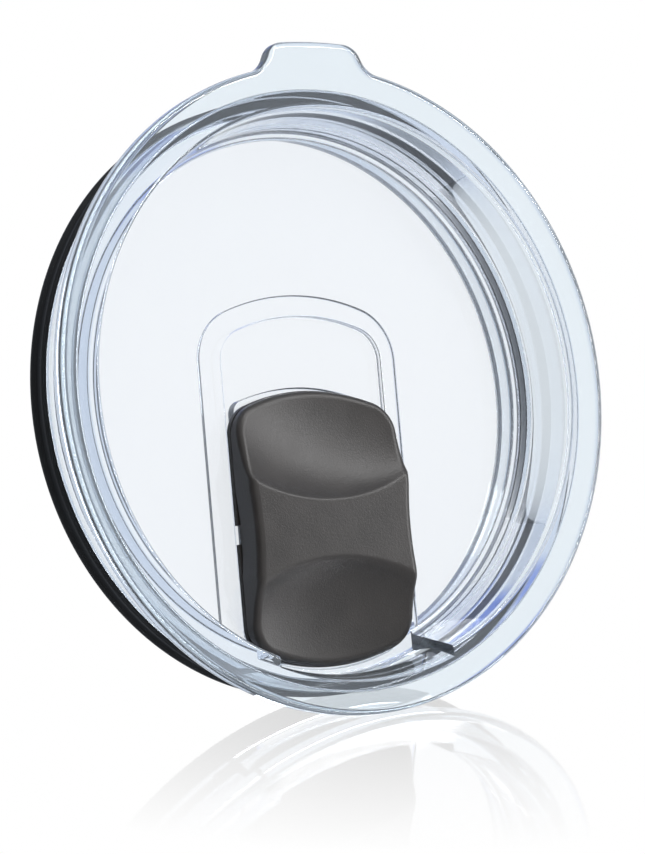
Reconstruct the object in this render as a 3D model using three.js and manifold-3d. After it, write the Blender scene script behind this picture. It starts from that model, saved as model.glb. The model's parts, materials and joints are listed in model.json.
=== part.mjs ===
// Clear press-in lid for a wide tumbler, with a magnetic slider over its sip opening.
// Millimetres, +Z up out of the lid, +Y towards the lifting tab, -Y towards the sip opening.
// The origin is on the lid's axis, on the flat underside of the boss that holds the magnets.

import * as THREE from 'three';
import { mergeVertices } from 'three/addons/utils/BufferGeometryUtils.js';
import Module from 'manifold-3d';

const wasm = await Module();
wasm.setup();

// ---------- driving dimensions ----------

const roundSteps = 96; // facets round the lid

// flange and tab
const flangeRadius = 50;
const flangeThickness = 3;
const flangeEdgeRound = 1.1;
const tabReach = 3.6;
const tabWidth = 18;
const tabCornerRadius = 3.6;
const tabRootRadius = 4;
const tabCrown = 0.5;

// well
const wellMouthRadius = 43.4;
const wellDepth = 11;
const wellDraft = 2.4; // how much the wall comes in, from mouth to floor
const wellEdgeRound = 0.7;
const wellFloorFillet = 1.2;
const floorThickness = 1.6;

// outer wall, gasket groove and skirt, as depths below the flange top
const wallOuterRadius = 46;
const grooveRadius = 44.4;
const grooveTopDepth = 11.4;
const grooveBottomDepth = 16.2;
const retainerRadius = 44.9;
const lidHeight = 17.8;
const skirtInnerRadius = 41.2;
const skirtFootOuterRadius = 43.8;
const retainerLand = 0.5;

// gasket
const gasketFit = 0.15;
const gasketInset = 0.2; // the gasket's band lies this far inside the outer wall
const gasketLipReach = 0.4; // and its lips stand this far out past it
const gasketLipThickness = 0.7;
const gasketLipPitch = 2.9;
const gasketFirstLip = 0.95; // below the gasket's top face
const gasketLipRoot = 0.5;

// slider
const sliderLength = 42.8;
const sliderWidth = 29.2;
const sliderEndRadius = 32;
const sliderCornerRadius = 5;
const sliderFrontReach = 42; // front end of the slider, from the lid's axis
const sliderTravel = 11.4;
const basePlateThickness = 1.0;
const partingGap = 0.3;
const capOverhang = 0.2; // how far the cap stands out past the base plate's sides
const capEndInset = 0.1; // how far it stops short of the base plate's ends
const capHeight = 4.95; // from the cap's lower edge to the ridge
const capWaistDepth = 0.4; // hollow in each side of the cap, between the scoops
const capWaistLength = 13;
const gripForward = 0.5; // the grip's ridge lies this far forward of the slider's middle
const capEdgeRound = 1.1;
const sideNotchLength = 2.9;
const sideNotchDepth = 0.9;

// finger scoops: each one is the underside of an ellipsoid
const scoopHalfLength = 15.8;
const scoopHalfWidth = 23.5;
const scoopHalfHeight = 6.0;
const scoopRise = 2.0; // ellipsoid centre above the ridge
const ridgeWidth = 9.2; // along the slide, on the centre line

// track
const trackSideClearance = 0.25;
const trackEndClearance = 0.3;
const trackRunClearance = 0.25;
const trackDepth = 1.0;
const bossMargin = 3.4;
const bossStep = 1.0; // how far the track's boss stands below the floor

// sip opening and notch
const sipLength = 8.2;
const sipWidth = 22;
const sipFrontLand = 1.6; // slider overlap in front of the opening
const sipEndRadius = 40;
const sipCornerRadius = 2;
const sipNotchMargin = 1.4; // notch beyond the slider, on each side
const sipNotchRadius = 43.4;
const sipFlareRadius = 45;
const sipFlareDepth = 5.5;

// magnets
const magnetDiameter = 8;
const magnetThickness = 1.5;
const magnetFit = 0.15;
const magnetHalfSpacing = 6;
const magnetSkin = 0.8; // plastic left over each lid magnet
const coverThickness = 0.8;
const coverMargin = 1.0; // cover beyond the magnets, on every side
const magnetBossLand = 1.2; // magnet boss beyond the cover, at the sides and the front
const magnetBossPast = 0.8; // and beyond the slider's back end
const sliderMagnetSkin = 0.6;
const magnetCupWall = 1.0;
const cupTopFit = 0.4;

// ---------- derived levels, with z = 0 on the boss underside ----------

const pocketHeight = coverThickness + magnetFit + magnetThickness + magnetFit;
const trackFloor = pocketHeight + magnetSkin;
const floorTop = trackFloor + trackDepth;
const floorUnderside = floorTop - floorThickness;
const bossUnderside = floorUnderside - bossStep;
const flangeTop = floorTop + wellDepth;
const flangeUnderside = flangeTop - flangeThickness;
const skirtFoot = flangeTop - lidHeight;
const wellFloorRadius = wellMouthRadius - wellDraft;

const sliderBack = -sliderFrontReach + sliderLength;
const gripMiddle = -sliderFrontReach + sliderLength / 2 - gripForward;
const baseBottom = trackFloor + trackRunClearance;
const baseTop = baseBottom + basePlateThickness;
const capBottom = baseTop + partingGap;
const ridgeTop = capBottom + capHeight;

const over = 1; // how far a cutter runs past the face it cuts

// ---------- helpers ----------

function toManifold(geometry) {
  const clean = geometry.clone();
  clean.deleteAttribute('normal');
  clean.deleteAttribute('uv');
  const merged = mergeVertices(clean, 1e-4);
  return new wasm.Manifold(new wasm.Mesh({
    numProp: 3,
    vertProperties: new Float32Array(merged.attributes.position.array),
    triVerts: new Uint32Array(merged.index.array),
  }));
}

function toGeometry(solid) {
  const mesh = solid.getMesh();
  const geometry = new THREE.BufferGeometry();
  const positions = new THREE.BufferAttribute(new Float32Array(mesh.vertProperties), 3);
  geometry.setAttribute('position', positions);
  geometry.setIndex(new THREE.BufferAttribute(new Uint32Array(mesh.triVerts), 1));
  geometry.computeVertexNormals();
  return geometry;
}

// A closed ring or disc turned about Z from [radius, z] points, given anticlockwise.
function turned(points, steps = roundSteps) {
  const profile = points.map(([r, z]) => new THREE.Vector2(r, z));
  if (points[0][0] > 0) profile.push(profile[0].clone());
  const geometry = new THREE.LatheGeometry(profile, steps);
  geometry.rotateX(Math.PI / 2);
  return toManifold(geometry);
}

function extruded(shape, low, high, curveSegments = 6) {
  const geometry = new THREE.ExtrudeGeometry(shape, {
    depth: high - low, bevelEnabled: false, curveSegments,
  });
  geometry.translate(0, 0, low);
  return toManifold(geometry);
}

function box(lowCorner, highCorner) {
  const low = new THREE.Vector3(...lowCorner);
  const high = new THREE.Vector3(...highCorner);
  const size = high.clone().sub(low);
  const geometry = new THREE.BoxGeometry(size.x, size.y, size.z);
  geometry.translate(...low.add(high).multiplyScalar(0.5).toArray());
  return toManifold(geometry);
}

function disc(diameter, low, high, x = 0, y = 0) {
  const geometry = new THREE.CylinderGeometry(diameter / 2, diameter / 2, high - low, 24);
  geometry.rotateX(Math.PI / 2);
  geometry.translate(x, y, (low + high) / 2);
  return toManifold(geometry);
}

// Points on a rounded corner in the [radius, z] plane.
function roundCorner(centreR, centreZ, radius, fromDegrees, toDegrees, steps = 4) {
  const points = [];
  for (let i = 0; i <= steps; i += 1) {
    const angle = THREE.MathUtils.degToRad(fromDegrees + (toDegrees - fromDegrees) * i / steps);
    points.push([centreR + radius * Math.cos(angle), centreZ + radius * Math.sin(angle)]);
  }
  return points;
}

// A slot with straight sides, broad arched ends and rounded corners, from yLow to yHigh.
function archedSlot(halfWidth, yLow, yHigh, endRadius, cornerRadius) {
  const reach = Math.sqrt((endRadius - cornerRadius) ** 2 - (halfWidth - cornerRadius) ** 2);
  const topArc = yHigh - endRadius;
  const lowArc = yLow + endRadius;
  const swing = Math.atan2(reach, halfWidth - cornerRadius);
  const cornerX = halfWidth - cornerRadius;
  const shape = new THREE.Shape();
  shape.moveTo(halfWidth, lowArc - reach);
  shape.lineTo(halfWidth, topArc + reach);
  shape.absarc(cornerX, topArc + reach, cornerRadius, 0, swing, false);
  shape.absarc(0, topArc, endRadius, swing, Math.PI - swing, false);
  shape.absarc(-cornerX, topArc + reach, cornerRadius, Math.PI - swing, Math.PI, false);
  shape.lineTo(-halfWidth, lowArc - reach);
  shape.absarc(-cornerX, lowArc - reach, cornerRadius, Math.PI, Math.PI + swing, false);
  shape.absarc(0, lowArc, endRadius, Math.PI + swing, 2 * Math.PI - swing, false);
  shape.absarc(cornerX, lowArc - reach, cornerRadius, -swing, 0, false);
  return shape;
}

// ---------- clear lid body ----------

// The well's wall radius at a height, between the floor and the mouth.
function wellRadiusAt(z) {
  return wellFloorRadius + wellDraft * (z - floorTop) / wellDepth;
}

function lidShell() {
  const retainerTop = flangeTop - grooveBottomDepth;
  const profile = [
    [0, floorUnderside],
    [skirtInnerRadius, floorUnderside],
    [skirtInnerRadius, skirtFoot],
    [skirtFootOuterRadius, skirtFoot],
    [retainerRadius, retainerTop - retainerLand],
    [retainerRadius, retainerTop],
    [grooveRadius, retainerTop],
    [grooveRadius, flangeTop - grooveTopDepth],
    [wallOuterRadius, flangeTop - grooveTopDepth],
    [wallOuterRadius, flangeUnderside],
    ...roundCorner(flangeRadius - flangeEdgeRound, flangeUnderside + flangeEdgeRound,
      flangeEdgeRound, -90, 0),
    ...roundCorner(flangeRadius - flangeEdgeRound, flangeTop - flangeEdgeRound,
      flangeEdgeRound, 0, 90),
    ...roundCorner(wellMouthRadius + wellEdgeRound, flangeTop - wellEdgeRound,
      wellEdgeRound, 90, 180, 3),
    ...roundCorner(wellRadiusAt(floorTop + wellFloorFillet) - wellFloorFillet,
      floorTop + wellFloorFillet, wellFloorFillet, 0, -90, 3),
    [0, floorTop],
  ];
  return turned(profile);
}

// The tab: a crowned outer edge, rounded corners, and root arcs that run on into the flange.
function liftingTab() {
  const half = tabWidth / 2;
  const crownRadius = (half ** 2 + tabCrown ** 2) / (2 * tabCrown);
  const crownCentre = flangeRadius + tabReach - crownRadius;
  const crownSwing = Math.asin((half - tabCornerRadius) / (crownRadius - tabCornerRadius));
  const cornerX = half - tabCornerRadius;
  const cornerY = crownCentre + (crownRadius - tabCornerRadius) * Math.cos(crownSwing);
  const cornerReach = Math.hypot(cornerX, cornerY);
  const rootOrbit = flangeRadius + tabRootRadius;
  const span = tabCornerRadius + tabRootRadius;
  const lean = Math.acos((rootOrbit ** 2 + cornerReach ** 2 - span ** 2) / (2 * rootOrbit * cornerReach));
  const rootAngle = Math.atan2(cornerY, cornerX) - lean;
  const rootX = rootOrbit * Math.cos(rootAngle);
  const rootY = rootOrbit * Math.sin(rootAngle);
  const landing = flangeRadius * Math.cos(rootAngle);
  const innerY = wellMouthRadius + 2 * wellEdgeRound;
  const contact = Math.atan2(rootY - cornerY, rootX - cornerX);
  const upright = Math.PI / 2;
  const shape = new THREE.Shape();
  shape.moveTo(-landing, innerY);
  shape.lineTo(landing, innerY);
  shape.lineTo(landing, flangeRadius * Math.sin(rootAngle));
  shape.absarc(rootX, rootY, tabRootRadius, rootAngle + Math.PI, contact + Math.PI, true);
  shape.absarc(cornerX, cornerY, tabCornerRadius, contact, upright - crownSwing, false);
  shape.absarc(0, crownCentre, crownRadius, upright - crownSwing, upright + crownSwing, false);
  shape.absarc(-cornerX, cornerY, tabCornerRadius, upright + crownSwing, Math.PI - contact, false);
  shape.absarc(-rootX, rootY, tabRootRadius, -contact, -rootAngle, true);
  return extruded(shape, flangeUnderside, flangeTop, 4);
}

// The track's outline, grown by a margin.
function trackOutline(margin) {
  return archedSlot(
    sliderWidth / 2 + trackSideClearance + margin,
    -sliderFrontReach - trackEndClearance - margin,
    sliderBack + sliderTravel + trackEndClearance + margin,
    sliderEndRadius + trackEndClearance + margin,
    sliderCornerRadius + trackSideClearance + margin,
  );
}

function trackBoss() {
  const middle = floorUnderside + floorThickness / 2;
  const outline = extruded(trackOutline(bossMargin), bossUnderside, middle);
  const reach = (skirtInnerRadius + grooveRadius) / 2;
  const insideSkirt = turned([[0, -over], [reach, -over], [reach, floorTop], [0, floorTop]]);
  return outline.intersect(insideSkirt);
}

// The wall is cut back in front of the slider and flares out towards the lip.
function sipNotch() {
  const flareFoot = flangeTop - sipFlareDepth;
  const halfWidth = sliderWidth / 2 + sipNotchMargin;
  const cutter = turned([
    [0, floorTop], [sipNotchRadius, floorTop], [sipNotchRadius, flareFoot],
    [sipFlareRadius, flangeTop], [sipFlareRadius, flangeTop + over], [0, flangeTop + over],
  ]);
  const limits = box(
    [-halfWidth, -flangeRadius, floorTop],
    [halfWidth, gripMiddle, flangeTop + over],
  );
  return cutter.intersect(limits);
}

function sipOpening() {
  const front = -sliderFrontReach + sipFrontLand;
  const shape = archedSlot(sipWidth / 2, front, front + sipLength, sipEndRadius, sipCornerRadius);
  return extruded(shape, -over, floorTop + over, 5);
}

// ---------- magnets ----------

const closedRow = gripMiddle;
const openRow = gripMiddle + sliderTravel;
const sides = { left: -magnetHalfSpacing, right: magnetHalfSpacing };

// A deeper boss under the track holds the magnets, hidden by the slider when it is shut.
function magnetBoss() {
  const reach = magnetDiameter / 2 + coverMargin + magnetBossLand;
  const outline = archedSlot(
    magnetHalfSpacing + reach, closedRow - reach, sliderBack + magnetBossPast,
    sliderEndRadius, coverMargin + magnetBossLand,
  );
  return extruded(outline, 0, floorUnderside);
}

function coverOutline(margin) {
  const reach = magnetDiameter / 2 + coverMargin + margin;
  const halfWidth = magnetHalfSpacing + reach;
  const corner = coverMargin + margin;
  return archedSlot(halfWidth, closedRow - reach, openRow + reach, halfWidth * 4, corner);
}

function coverRecess() {
  return extruded(coverOutline(gasketFit), -over, coverThickness + magnetFit / 2, 3);
}

function magnetPockets() {
  let pockets = null;
  for (const y of [closedRow, openRow]) {
    for (const x of Object.values(sides)) {
      const pocket = disc(magnetDiameter + 2 * magnetFit, 0, pocketHeight, x, y);
      pockets = pockets ? pockets.add(pocket) : pocket;
    }
  }
  return pockets;
}

function lidBody() {
  return lidShell()
    .add(liftingTab())
    .add(trackBoss())
    .add(magnetBoss())
    .subtract(sipNotch())
    .subtract(extruded(trackOutline(0), trackFloor, flangeTop))
    .subtract(sipOpening())
    .subtract(coverRecess())
    .subtract(magnetPockets());
}

function magnetCover() {
  return extruded(coverOutline(0), 0, coverThickness, 3);
}

// ---------- gasket ----------

function gasket() {
  const top = flangeTop - grooveTopDepth - gasketFit;
  const bottom = flangeTop - grooveBottomDepth + gasketFit;
  const inner = grooveRadius + gasketFit;
  const band = wallOuterRadius - gasketInset;
  const lipEnd = wallOuterRadius + gasketLipReach;
  const outside = [[inner, bottom], [band - gasketLipRoot / 2, bottom]];
  for (const lip of [1, 0]) {
    const lipTop = top - gasketFirstLip - lip * gasketLipPitch + gasketLipThickness;
    outside.push(
      [band, lipTop - gasketLipThickness - gasketLipRoot],
      [lipEnd, lipTop - gasketLipThickness],
      [lipEnd, lipTop - gasketLipThickness / 3],
      [lipEnd - gasketLipThickness / 3, lipTop],
      [band, lipTop + gasketLipRoot / 3],
    );
  }
  return turned([...outside, [band, top], [inner, top]]);
}

// ---------- slider ----------

function sliderOutline(sideInset, endInset) {
  return archedSlot(
    sliderWidth / 2 - sideInset, -sliderFrontReach + endInset, sliderBack - endInset,
    sliderEndRadius - endInset, sliderCornerRadius - sideInset,
  );
}

// The cups that hold the two slider magnets stand on the base plate, under the cap's ridge.
function sliderBase() {
  const cupDiameter = magnetDiameter + 2 * (magnetFit + magnetCupWall);
  const magnetSeat = baseBottom + sliderMagnetSkin;
  const cupTop = magnetSeat + magnetFit + magnetThickness;
  let base = extruded(sliderOutline(0, 0), baseBottom, baseTop);
  for (const x of Object.values(sides)) {
    base = base
      .add(disc(cupDiameter, baseTop - basePlateThickness / 2, cupTop, x, gripMiddle))
      .subtract(disc(magnetDiameter + 2 * magnetFit, magnetSeat, cupTop + over, x, gripMiddle));
  }
  for (const side of [-1, 1]) {
    const edge = side * sliderWidth / 2;
    const low = Math.min(edge - side * sideNotchDepth, edge + side * over);
    const high = Math.max(edge - side * sideNotchDepth, edge + side * over);
    base = base.subtract(box(
      [low, gripMiddle - sideNotchLength / 2, baseBottom - over],
      [high, gripMiddle + sideNotchLength / 2, baseTop + over],
    ));
  }
  return base;
}

function fingerScoop(direction) {
  const rimShare = Math.sqrt(1 - (scoopRise / scoopHalfHeight) ** 2);
  const centre = gripMiddle + direction * (ridgeWidth / 2 + scoopHalfLength * rimShare);
  const geometry = new THREE.SphereGeometry(1, 40, 24);
  geometry.rotateX(Math.PI / 2);
  geometry.scale(scoopHalfWidth, scoopHalfLength, scoopHalfHeight);
  geometry.translate(0, centre, ridgeTop + scoopRise);
  return toManifold(geometry);
}

// A long shallow hollow in one side of the cap, for finger and thumb.
function capWaist(side) {
  const edge = sliderWidth / 2 + capOverhang;
  const radius = (capWaistLength ** 2 / 4 + capWaistDepth ** 2) / (2 * capWaistDepth);
  const geometry = new THREE.CylinderGeometry(radius, radius, capHeight + 2 * over, 96);
  geometry.rotateX(Math.PI / 2);
  geometry.translate(side * (edge - capWaistDepth + radius), gripMiddle, capBottom + capHeight / 2);
  return toManifold(geometry);
}

function sliderCap() {
  const geometry = new THREE.ExtrudeGeometry(sliderOutline(-capOverhang, capEndInset), {
    depth: capHeight - capEdgeRound, bevelEnabled: true, bevelThickness: capEdgeRound,
    bevelSize: capEdgeRound, bevelOffset: -capEdgeRound, bevelSegments: 3, curveSegments: 5,
  });
  geometry.translate(0, 0, capBottom);
  const shell = toManifold(geometry);
  const trim = box(
    [-sliderWidth, -sliderFrontReach - over, capBottom - capHeight],
    [sliderWidth, sliderBack + over, capBottom],
  );
  const cavityHalfLength = magnetDiameter / 2 + magnetFit + magnetCupWall + cupTopFit;
  const cavityHalfWidth = magnetHalfSpacing + cavityHalfLength;
  const cavityTop = baseBottom + sliderMagnetSkin + magnetFit + magnetThickness + cupTopFit;
  const cavity = box(
    [-cavityHalfWidth, gripMiddle - cavityHalfLength, capBottom - over],
    [cavityHalfWidth, gripMiddle + cavityHalfLength, cavityTop],
  );
  return shell
    .subtract(trim)
    .subtract(fingerScoop(1))
    .subtract(fingerScoop(-1))
    .subtract(capWaist(1))
    .subtract(capWaist(-1))
    .subtract(cavity);
}

// ---------- the object ----------

const finishes = {
  clear: { color: 0xeef3f8, roughness: 0.04, metalness: 0, transparent: true, opacity: 0.35 },
  seal: { color: 0x1e2123, roughness: 0.6, metalness: 0 },
  grip: { color: 0x4b4946, roughness: 0.55, metalness: 0 },
  magnet: { color: 0xb4b4b0, roughness: 0.3, metalness: 1 },
};

const lid = new THREE.Group();

function addPart(name, solid, finish) {
  const mesh = new THREE.Mesh(toGeometry(solid), new THREE.MeshStandardMaterial(finishes[finish]));
  mesh.name = name;
  lid.add(mesh);
}

addPart('lid_body', lidBody(), 'clear');
addPart('lid_gasket', gasket(), 'seal');
addPart('lid_magnet_cover', magnetCover(), 'clear');
addPart('slider_cap', sliderCap(), 'grip');
addPart('slider_base', sliderBase(), 'grip');

const lidMagnetBottom = coverThickness + magnetFit;
const sliderMagnetBottom = baseBottom + sliderMagnetSkin + magnetFit / 2;
for (const [side, x] of Object.entries(sides)) {
  for (const [row, y] of Object.entries({ closed: closedRow, open: openRow })) {
    const magnet = disc(magnetDiameter, lidMagnetBottom, lidMagnetBottom + magnetThickness, x, y);
    addPart(`lid_magnet_${row}_${side}`, magnet, 'magnet');
  }
  const sliderMagnetTop = sliderMagnetBottom + magnetThickness;
  const carried = disc(magnetDiameter, sliderMagnetBottom, sliderMagnetTop, x, gripMiddle);
  addPart(`slider_magnet_${side}`, carried, 'magnet');
}

export default lid;
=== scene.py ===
import json
import math

import bpy
from mathutils import Matrix, Vector

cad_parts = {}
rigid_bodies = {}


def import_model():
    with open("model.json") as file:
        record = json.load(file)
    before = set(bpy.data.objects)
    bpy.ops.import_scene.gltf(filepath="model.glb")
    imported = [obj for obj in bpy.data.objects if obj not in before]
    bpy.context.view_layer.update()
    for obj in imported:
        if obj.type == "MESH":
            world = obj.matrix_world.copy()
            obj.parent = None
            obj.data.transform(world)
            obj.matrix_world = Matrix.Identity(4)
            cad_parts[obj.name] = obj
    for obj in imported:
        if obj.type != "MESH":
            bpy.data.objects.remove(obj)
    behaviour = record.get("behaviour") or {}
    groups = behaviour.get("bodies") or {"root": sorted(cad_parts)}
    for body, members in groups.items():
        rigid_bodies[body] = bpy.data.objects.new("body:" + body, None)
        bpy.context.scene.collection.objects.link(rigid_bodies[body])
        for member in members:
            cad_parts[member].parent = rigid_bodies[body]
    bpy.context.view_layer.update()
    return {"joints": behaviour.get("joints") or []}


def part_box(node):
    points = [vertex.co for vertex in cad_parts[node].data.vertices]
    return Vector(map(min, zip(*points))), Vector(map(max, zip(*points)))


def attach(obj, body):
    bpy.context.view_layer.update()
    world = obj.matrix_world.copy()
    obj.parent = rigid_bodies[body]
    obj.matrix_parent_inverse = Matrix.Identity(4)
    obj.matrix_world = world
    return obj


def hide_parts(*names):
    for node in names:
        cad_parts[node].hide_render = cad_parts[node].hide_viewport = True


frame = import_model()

# Clear press-in tumbler lid with a black gasket and a dark magnetic slider.
# Everything is modelled in millimetres and scaled to metres when it is finished.
# The lid's axis is Z, the lifting tab is at +Y and the sip opening at -Y.

mm = 0.001
past = 1.0  # how far a cutting shape runs beyond the piece it cuts
scene = bpy.context.scene


def boxMm(node):
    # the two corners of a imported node's box
    low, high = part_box(node)
    return low / mm, high / mm


def discMm(node):
    # middle, radius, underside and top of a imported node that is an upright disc
    low, high = boxMm(node)
    return (low + high) / 2, (high.x - low.x) / 2, low.z, high.z


bodyLow, bodyHigh = boxMm("lid_body")
baseLow, baseHigh = boxMm("slider_base")
capLow, capHigh = boxMm("slider_cap")
coverLow, coverHigh = boxMm("lid_magnet_cover")
gasketLow, gasketHigh = boxMm("lid_gasket")
slideRange = frame["joints"][0]["range_m"]
travel = (slideRange[1] - slideRange[0]) / mm
flangeTop = bodyHigh.z
flangeRadius = bodyHigh.x
tabTip = bodyHigh.y
skirtFoot = bodyLow.z
lidMagnets = [f"lid_magnet_{row}_{side}" for row in ("closed", "open")
              for side in ("left", "right")]
sliderMagnets = [f"slider_magnet_{side}" for side in ("left", "right")]


def newPiece(name, points, faces):
    mesh = bpy.data.meshes.new(name)
    mesh.from_pydata(points, [], faces)
    mesh.validate()
    piece = bpy.data.objects.new(name, mesh)
    scene.collection.objects.link(piece)
    return piece


def arcPoints(cx, cy, radius, start, end, steps):
    return [(cx + radius * math.cos(start + (end - start) * i / steps),
             cy + radius * math.sin(start + (end - start) * i / steps))
            for i in range(steps + 1)]


def roundedPath(corners, steps=6):
    # corners are (a, b, fillet radius) of an open path whose two ends stay as they are
    path = [corners[0][:2]]
    for before, (a, b, fillet), after in zip(corners, corners[1:], corners[2:]):
        here = Vector((a, b))
        back = (Vector(before[:2]) - here).normalized()
        ahead = (Vector(after[:2]) - here).normalized()
        if fillet == 0:
            path.append((a, b))
            continue
        half = back.angle(ahead) / 2
        centre = here + (back + ahead).normalized() * fillet / math.sin(half)
        start = here + back * fillet / math.tan(half) - centre
        end = here + ahead * fillet / math.tan(half) - centre
        sweep = start.angle_signed(end)
        for i in range(steps + 1):
            turn = Matrix.Rotation(-sweep * i / steps, 2)
            path.append(tuple(centre + turn @ start))
    path.append(corners[-1][:2])
    return path


def loft(name, rings):
    # closed solid through rings of equal count; a ring of one point closes an end to a tip
    points = [p for ring in rings for p in ring]
    faces, first = [], 0
    for low, high in zip(rings, rings[1:]):
        nextFirst = first + len(low)
        count = max(len(low), len(high))
        for i in range(count):
            j = (i + 1) % count
            if len(low) == 1:
                faces.append((first, nextFirst + j, nextFirst + i))
            elif len(high) == 1:
                faces.append((first + i, first + j, nextFirst))
            else:
                faces.append((first + i, first + j, nextFirst + j, nextFirst + i))
        first = nextFirst
    if len(rings[0]) > 1:
        faces.append(tuple(reversed(range(len(rings[0])))))
    if len(rings[-1]) > 1:
        faces.append(tuple(range(first, first + len(rings[-1]))))
    return newPiece(name, points, faces)


def turned(name, path, steps):
    # a closed ring turned about Z from a closed (radius, z) path given anticlockwise
    points, faces = [], []
    count = len(path)
    for i in range(steps):
        angle = 2 * math.pi * i / steps
        points += [(r * math.cos(angle), r * math.sin(angle), z) for r, z in path]
    for i in range(steps):
        here, there = i * count, (i + 1) % steps * count
        for k in range(count):
            n = (k + 1) % count
            faces.append((here + k, there + k, there + n, here + n))
    return newPiece(name, points, faces)


def archedOutline(slot, grow=0.0, cornerSteps=14, endSteps=20, sideSteps=1):
    # straight sides, broad arched ends and rounded corners, grown outwards by a margin
    halfWidth = slot["halfWidth"] + grow
    yLow, yHigh = slot["yLow"] - grow, slot["yHigh"] + grow
    endRadius, corner = slot["endRadius"] + grow, slot["cornerRadius"] + grow
    cornerX = halfWidth - corner
    reach = math.sqrt((endRadius - corner) ** 2 - cornerX ** 2)
    swing = math.atan2(reach, cornerX)
    top, low = yHigh - endRadius, yLow + endRadius
    pi = math.pi
    outline = []
    for i in range(sideSteps):
        outline.append((halfWidth, low - reach + (top + 2 * reach - low) * i / sideSteps))
    outline += arcPoints(cornerX, top + reach, corner, 0, swing, cornerSteps)[:-1]
    outline += arcPoints(0, top, endRadius, swing, pi - swing, endSteps)[:-1]
    outline += arcPoints(-cornerX, top + reach, corner, pi - swing, pi, cornerSteps)[:-1]
    for i in range(sideSteps):
        outline.append((-halfWidth, top + reach + (low - top - 2 * reach) * i / sideSteps))
    outline += arcPoints(-cornerX, low - reach, corner, pi, pi + swing, cornerSteps)[:-1]
    outline += arcPoints(0, low, endRadius, pi + swing, 2 * pi - swing, endSteps)[:-1]
    outline += arcPoints(cornerX, low - reach, corner, -swing, 0, cornerSteps)[:-1]
    return outline


def slotSolid(name, slot, steps):
    # steps are (grow, z) pairs from the bottom up
    return loft(name, [[(x, y, z) for x, y in archedOutline(slot, grow)]
                       for grow, z in steps])


def edgeRound(size, z, direction, steps=4):
    # (grow, z) pairs of a rounded outer edge: direction +1 ends at the top, -1 starts at the foot
    pairs = []
    for i in range(steps + 1):
        angle = math.pi / 2 * i / steps
        pairs.append((size * (math.cos(angle) - 1), z + direction * size * (math.sin(angle) - 1)))
    return pairs if direction > 0 else pairs[::-1]


def rimRound(size, z, degrees=(0, 30, 60, 90)):
    # (grow, z) pairs of a rounded rim where an opening comes up to a face at height z
    angles = [math.radians(a) for a in degrees]
    return [(size * (1 - math.cos(a)), z - size + size * math.sin(a)) for a in angles]


def discSolid(name, radius, low, high, x, y, chamfer=0.0, steps=64):
    rings = [(radius, low + chamfer), (radius, high - chamfer)]
    if chamfer:
        rings = [(radius - chamfer, low)] + rings + [(radius - chamfer, high)]
    return loft(name, [[(x + r * math.cos(2 * math.pi * i / steps),
                         y + r * math.sin(2 * math.pi * i / steps), z)
                        for i in range(steps)] for r, z in rings])


def boxSolid(name, low, high):
    (x0, y0, z0), (x1, y1, z1) = low, high
    return loft(name, [[(x0, y0, z), (x1, y0, z), (x1, y1, z), (x0, y1, z)] for z in (z0, z1)])


def settle(piece):
    # the piece's modifiers become its mesh
    graph = bpy.context.evaluated_depsgraph_get()
    made = bpy.data.meshes.new_from_object(piece.evaluated_get(graph))
    old = piece.data
    piece.modifiers.clear()
    piece.data = made
    bpy.data.meshes.remove(old)
    made.name = piece.name


def combine(piece, tool, operation):
    cut = piece.modifiers.new("cut", "BOOLEAN")
    cut.solver = "MANIFOLD"
    cut.operation = operation
    cut.object = tool
    settle(piece)
    bpy.data.objects.remove(tool)


def smoothed(piece, sharpAngle=32):
    piece.data.polygons.foreach_set("use_smooth", [True] * len(piece.data.polygons))
    piece.data.set_sharp_from_angle(angle=math.radians(sharpAngle))
    weighted = piece.modifiers.new("weighted", "WEIGHTED_NORMAL")
    weighted.keep_sharp = True
    weighted.weight = 100
    settle(piece)


def finished(piece, material, body, node):
    piece.data.transform(Matrix.Scale(mm, 4))
    piece.data.materials.clear()
    piece.data.materials.append(material)
    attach(piece, body)
    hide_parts(node)
    return piece


def place(tree, kind, **settings):
    node = tree.nodes.new(kind)
    for key, value in settings.items():
        setattr(node, key, value)
    return node


def newGroup(name, inputs, outputs):
    tree = bpy.data.node_groups.new(name, "ShaderNodeTree")
    for label, kind, default in inputs:
        socket = tree.interface.new_socket(label, in_out="INPUT", socket_type=kind)
        socket.default_value = default
    for label, kind in outputs:
        tree.interface.new_socket(label, in_out="OUTPUT", socket_type=kind)
    return tree, tree.nodes.new("NodeGroupInput"), tree.nodes.new("NodeGroupOutput")


def useGroup(tree, group, **values):
    node = place(tree, "ShaderNodeGroup", node_tree=group)
    for label, value in values.items():
        node.inputs[label].default_value = value
    return node


def newMaterial(name):
    material = bpy.data.materials.new(name)
    material.use_nodes = True
    tree = material.node_tree
    tree.nodes.clear()
    shader = tree.nodes.new("ShaderNodeBsdfPrincipled")
    output = tree.nodes.new("ShaderNodeOutputMaterial")
    tree.links.new(shader.outputs["BSDF"], output.inputs["Surface"])
    return material, tree, shader, output


def blendColours(tree, factor, first, second):
    mix = place(tree, "ShaderNodeMix", data_type="RGBA")
    tree.links.new(factor, mix.inputs["Factor"])
    mix.inputs["A"].default_value = (*first, 1)
    mix.inputs["B"].default_value = (*second, 1)
    return mix.outputs["Result"]


def remap(tree, value, low, high, fromLow=0.0, fromHigh=1.0):
    scale = tree.nodes.new("ShaderNodeMapRange")
    tree.links.new(value, scale.inputs["Value"])
    scale.inputs["From Min"].default_value = fromLow
    scale.inputs["From Max"].default_value = fromHigh
    scale.inputs["To Min"].default_value = low
    scale.inputs["To Max"].default_value = high
    return scale.outputs["Result"]


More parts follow.
